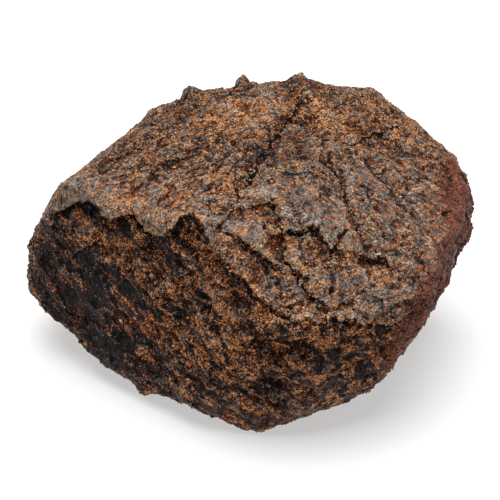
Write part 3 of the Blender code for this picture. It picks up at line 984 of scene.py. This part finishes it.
def stone_material(top_grain, front_grain):
    """Each sum says how much every mask and noise adds, and its last number sets the middle."""
    g = Graph("stone")
    place = g.node("ShaderNodeTexCoord", {}, "Object")
    place = g.node("ShaderNodeVectorMath", {0: place, 1: (1000.0, 1000.0, 1000.0)}, operation="MULTIPLY")
    top_place = g.stretched(place, top_grain, TOP_STREAK)
    front_place = g.stretched(place, front_grain, FRONT_STREAK)
    wander = g.noise(place, WANDER, 2.0, 0.5, "Color")
    bent = g.node("ShaderNodeVectorMath", {0: wander, 1: (0.5, 0.5, 0.5), 2: place}, operation="MULTIPLY_ADD")
    other = g.node("ShaderNodeVectorMath", {0: place, 1: (37.0, 11.0, 5.0)}, operation="ADD")

    recess, crack_side, crack_width, ledge_side, ledge_rise = map(g.attribute, LINE_MASKS)
    rust, grey, light, dark, front, flank, even, bare = map(g.attribute, PLACE_MASKS)
    grain, grain_tone, grain_rust = map(g.attribute, GRAIN_MASKS)

    small = g.split(g.cells(bent, SMALL_CELLS))
    gap = g.cells(bent, SMALL_CELLS, "Distance")
    large = g.split(g.cells(bent, LARGE_CELLS))
    fine = g.blend(front, g.noise(top_place, FINE, 2.0, 0.7), g.noise(front_place, FINE, 2.0, 0.7))
    medium = g.blend(front, g.noise(top_place, MEDIUM, 4.0, 0.65), g.noise(front_place, MEDIUM, 4.0, 0.65))
    grit = g.noise(other, GRIT, 1.0, 0.5)
    broad = g.noise(place, BROAD, 4.0, 0.6)
    calm = g.noise(other, CALM, 3.0, 0.6)
    rust_fine = g.noise(other, RUST_FINE, 3.0, 0.65)
    rust_patch = g.blend(front, g.noise(g.shift(top_place, 19.0), RUST_PATCH, 3.0, 0.6),
                         g.noise(g.shift(front_place, 19.0), FACE_RUST_PATCH, 3.0, 0.6))
    rust_broad = g.noise(other, RUST_BROAD, 4.0, 0.65)

    # Thin dark lines of painted shade: in the mapped cracks, under each ledge, and in short hairlines between
    # broad cells.
    frayed = g.add(g.scale(fine, 0.5), -0.25)
    away = g.scale(g.math("ABSOLUTE", g.add(crack_side, -0.5)), 2.0 * SIDE_REACH)
    inside = g.add(g.scale(crack_width, WIDEST_CRACK), g.scale(away, -1.0), g.scale(frayed, 0.9))
    crack_line = g.math("MULTIPLY", g.step(inside, -0.04, 0.08), g.step(crack_width, 0.10, 0.30))
    reach = g.add(ledge_side, g.scale(frayed, 0.8))
    under = g.math("MULTIPLY", g.step(ledge_side, 0.50, 0.47), g.step(reach, 0.24, 0.36))
    under = g.math("MULTIPLY", under, ledge_rise)
    # Painted highlight on the high side along each ledge's edge.
    edge = g.math("MULTIPLY", g.step(ledge_side, 0.50, 0.53), g.step(ledge_side, 0.72, 0.58))
    edge = g.math("MULTIPLY", edge, ledge_rise)
    seam = g.step(g.cells(bent, SEAM_CELLS, "Distance", "DISTANCE_TO_EDGE"), 0.055, 0.025)
    seam = g.math("MULTIPLY", seam, g.step(medium, 0.50, 0.58))
    crackle = g.step(g.cells(bent, CRACKLE_CELLS, "Distance", "DISTANCE_TO_EDGE"), 0.085, 0.035)
    crackle = g.math("MULTIPLY", crackle, g.step(g.noise(other, 0.9, 2.0, 0.5), 0.48, 0.56))
    seam = g.math("MAXIMUM", seam, g.scale(crackle, 0.8))
    lines = g.math("MAXIMUM", g.math("MAXIMUM", crack_line, g.scale(under, 0.9)), g.scale(seam, 0.66))

    # Tone: how light the place is, and how lively its fine texture.
    # Painted shade from the relief: darker the deeper a place lies below the smoothed surface around it,
    # lighter on crests; the hollows are painted darker still, and they also hold more rust.
    painted_relief_shade = g.add(0.5, g.scale(recess, -1.0))
    hollow = g.step(recess, 0.52, 0.90)
    texture = g.add(g.scale(small[0], 0.50), g.scale(large[0], 0.10), g.scale(fine, 1.7),
                    g.scale(medium, 0.30), g.scale(gap, -0.50), g.scale(grit, 1.35), -1.72)
    contrast = g.add(0.85, g.scale(even, -0.42), g.scale(calm, 1.6), g.scale(front, 0.42), -0.80)
    texture = g.math("MULTIPLY", texture, contrast)
    # The level is partly the crust's own tone and partly painted light and shade: lighter on the light spots,
    # lips and ledge edges, darker in recesses, hollows, dark places and on the front.
    level = g.add(g.scale(broad, 0.45), g.scale(painted_relief_shade, 0.35), g.scale(dark, -0.16), g.scale(light, 0.13),
                  g.scale(hollow, -0.12), g.scale(edge, 0.10), g.scale(front, -0.045), 0.315)
    level = g.add(level, g.scale(grain_tone, 0.60), -0.30, g.scale(grain, 0.03))
    # Filaments: thin bright curving lines of painted glint, and thin dark veins.
    crest = g.math("ABSOLUTE", g.add(g.noise(bent, 1.5, 3.0, 0.6), -0.5))
    crest = g.math("MULTIPLY", g.step(crest, 0.030, 0.006), g.step(g.noise(other, 1.1, 2.0, 0.5), 0.47, 0.55))
    trough = g.math("ABSOLUTE", g.add(g.noise(g.shift(bent, 27.0), 1.3, 3.0, 0.6), -0.5))
    there = g.step(g.noise(g.shift(other, 27.0), 1.0, 2.0, 0.5), 0.48, 0.56)
    trough = g.math("MULTIPLY", g.step(trough, 0.028, 0.006), there)
    filament = g.add(g.scale(crest, 0.17), g.scale(trough, -0.24))
    filament = g.math("MULTIPLY", filament, g.add(0.45, g.scale(even, 0.55)))
    crust_tone = g.math("MULTIPLY", texture, g.add(0.85, g.scale(front, -0.05), g.scale(bare, -0.30)))
    crust_tone = g.add(crust_tone, level, g.scale(dark, -0.18), g.scale(bare, -0.17), filament)
    rust_tone = g.math("MULTIPLY", texture, g.add(1.1, g.scale(front, 0.45)))
    rust_tone = g.add(rust_tone, level, g.scale(front, 0.13), g.scale(bare, -0.06))

    # Rust: where it lies, and its colour against the crust's.
    speck = g.math("MULTIPLY", g.add(rust_fine, -0.5), g.add(2.5, g.scale(front, -0.7)))
    amount = g.add(g.scale(rust_patch, 2.6), speck, 0.95, g.scale(small[1], 0.5), g.scale(rust_broad, 0.9),
                   g.scale(rust, 0.40), g.scale(grey, -0.18), g.scale(hollow, 0.15), -3.03)
    amount = g.add(amount, g.scale(grain_rust, 0.7), -0.35, g.scale(grain, 0.12), g.scale(even, -0.04),
                   g.scale(front, 0.39), g.scale(bare, -0.94), g.scale(dark, -0.06), g.scale(under, 0.2))
    amount = g.step(amount, -0.11, 0.11)
    rusty = g.mix(g.scale(front, 0.8), g.ramp(rust_tone, RUST_STOPS), g.ramp(rust_tone, FACE_RUST_STOPS))
    crust = g.mix(g.scale(bare, 0.9), g.ramp(crust_tone, CRUST_STOPS), g.ramp(crust_tone, BARE_STOPS))
    colour = g.mix(amount, crust, rusty)
    speckled = g.add(texture, level, g.scale(dark, 0.15), g.scale(medium, 0.3), -0.14)
    reddened = g.step(g.add(flank, g.scale(medium, 1.1), g.scale(fine, 0.9), -1.0), 0.25, 0.68)
    colour = g.mix(g.scale(reddened, 0.95), colour, g.ramp(speckled, FLANK_STOPS))

    # Painted shade: black in hollows, in tiny pits and in lines; the pit dots also make the flank's black
    # specks. Then a few painted glints.
    colour = g.mix(g.scale(hollow, 0.22), colour, linear(HOLLOW_SHADE_BLACK))
    # Black dots: painted shade in tiny pits, and on the flank its black specks.
    pin = g.step(g.add(g.cells(bent, LARGE_CELLS, "Distance"), g.scale(flank, -0.18)), 0.24, 0.10)
    pin = g.math("MULTIPLY", pin, g.step(g.add(large[1], g.scale(flank, 0.25)), 0.60, 0.64))
    pin = g.math("MULTIPLY", pin, g.add(1.0, g.scale(grain, -1.0)))
    colour = g.mix(g.scale(pin, 0.85), colour, linear(PIT_SHADE_AND_SPECK_BLACK))
    colour = g.mix(lines, colour, linear(LINE_SHADE_BLACK))
    rarity = g.add(g.split(g.cells(bent, GLINT_CELLS))[2], g.scale(even, 0.03), g.scale(front, 0.06),
                   g.scale(bare, -0.05))
    spark = g.step(g.cells(bent, GLINT_CELLS, "Distance"), 0.38, 0.18)
    spark = g.math("MULTIPLY", spark, g.step(rarity, 0.950, 0.965))
    glint = g.mix(front, linear(TOP_GLINT), linear(FACE_GLINT))
    colour = g.mix(g.scale(spark, 0.75), colour, glint)
    colour = g.mix(1.0, colour, (ALBEDO_SCALE, ALBEDO_SCALE, ALBEDO_SCALE, 1.0), "MULTIPLY")

    # Gloss and bumps.
    g.feed(g.shader.inputs["Base Color"], colour)
    shine = g.add(g.scale(amount, 0.25), g.scale(fine, 0.5), g.scale(small[2], 0.25), g.scale(even, -0.08),
                  0.05)
    g.feed(g.shader.inputs["Roughness"], shine)
    g.shader.inputs["Specular IOR Level"].default_value = SPECULAR
    glaze = g.add(g.scale(amount, -0.35), g.scale(front, -0.50), g.scale(even, 0.20), g.scale(grit, 0.5),
                  g.scale(hollow, -0.5), g.scale(lines, -0.5), g.scale(flank, -0.5), 0.12)
    grazing = g.node("ShaderNodeLayerWeight", {"Blend": 0.5}, "Facing")
    glaze = g.add(glaze, g.scale(g.step(grazing, 0.45, 0.95), -1.0))
    glaze = g.math("MINIMUM", g.math("MAXIMUM", glaze, 0.0), 1.0)
    g.feed(g.shader.inputs["Coat Weight"], glaze)
    g.shader.inputs["Coat Roughness"].default_value = COAT_ROUGHNESS
    relief = g.add(g.scale(medium, 0.45), g.scale(fine, 0.35), g.scale(grit, 0.18), g.scale(gap, -0.22),
                   g.scale(pin, -0.2), g.scale(lines, -0.25), g.scale(edge, 0.12), g.scale(filament, 0.5))
    strength = g.add(1.0, g.scale(even, -0.4), g.scale(grain, -0.5))
    bump = g.node("ShaderNodeBump", {"Strength": strength, "Distance": 1.0 * MM, "Height": relief})
    g.feed(g.shader.inputs["Normal"], bump)
    g.feed(g.shader.inputs["Coat Normal"], bump)
    return g.material


def dress_stone(camera):
    stone = fine_copy(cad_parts["meteorite"])
    view = StoneView(stone, camera)
    roughen(stone, view)
    thin_out(stone)
    write_masks(stone, view)
    box_map(stone.data)
    material = stone_material(view.direction(*TOP_GRAIN), view.direction(*FRONT_GRAIN))
    stone.data.materials.append(material)
    stone.data.shade_smooth()
    for piece in (stone, grains(stone, material)):
        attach(piece, "root")
        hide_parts("meteorite")


# ---- studio ----


FLOOR_SIDE = 12.0        # in metres
FLOOR_GREY = 0.44
FLOOR_GLOW = 0.50        # the pale floor is lit from beneath too, so that shadows on it stay light
SOFTBOX_PLACE = Vector((-40.0, 60.0, 1250.0))
SOFTBOX_SIZE = 1400.0
SOFTBOX_WATTS = 33.0
WORLD_STRENGTH = 0.18


def floor():
    shape = bmesh.new()
    bmesh.ops.create_grid(shape, x_segments=1, y_segments=1, size=FLOOR_SIDE / 2.0)
    mesh = bpy.data.meshes.new("floor")
    shape.to_mesh(mesh)
    shape.free()
    plane = bpy.data.objects.new("floor", mesh)
    bpy.context.scene.collection.objects.link(plane)
    material = bpy.data.materials.new("floor")
    material.use_nodes = True
    shader = material.node_tree.nodes["Principled BSDF"]
    shader.inputs["Base Color"].default_value = (FLOOR_GREY, FLOOR_GREY, FLOOR_GREY, 1.0)
    shader.inputs["Roughness"].default_value = 0.9
    shader.inputs["Emission Color"].default_value = (1.0, 1.0, 1.0, 1.0)
    shader.inputs["Emission Strength"].default_value = FLOOR_GLOW
    mesh.materials.append(material)


def softbox():
    data = bpy.data.lights.new("softbox", "AREA")
    data.shape = "DISK"
    data.size = SOFTBOX_SIZE * MM
    data.energy = SOFTBOX_WATTS
    light = bpy.data.objects.new("softbox", data)
    bpy.context.scene.collection.objects.link(light)
    light.location = SOFTBOX_PLACE * MM
    light.rotation_euler = (CAMERA_TARGET - SOFTBOX_PLACE).to_track_quat("-Z", "Y").to_euler()


def studio():
    floor()
    softbox()
    world = bpy.data.worlds.new("world")
    world.use_nodes = True
    world.node_tree.nodes["Background"].inputs["Color"].default_value = (1.0, 1.0, 1.0, 1.0)
    world.node_tree.nodes["Background"].inputs["Strength"].default_value = WORLD_STRENGTH
    scene = bpy.context.scene
    scene.world = world
    scene.view_settings.view_transform = "Standard"


dress_stone(stone_camera())
studio()
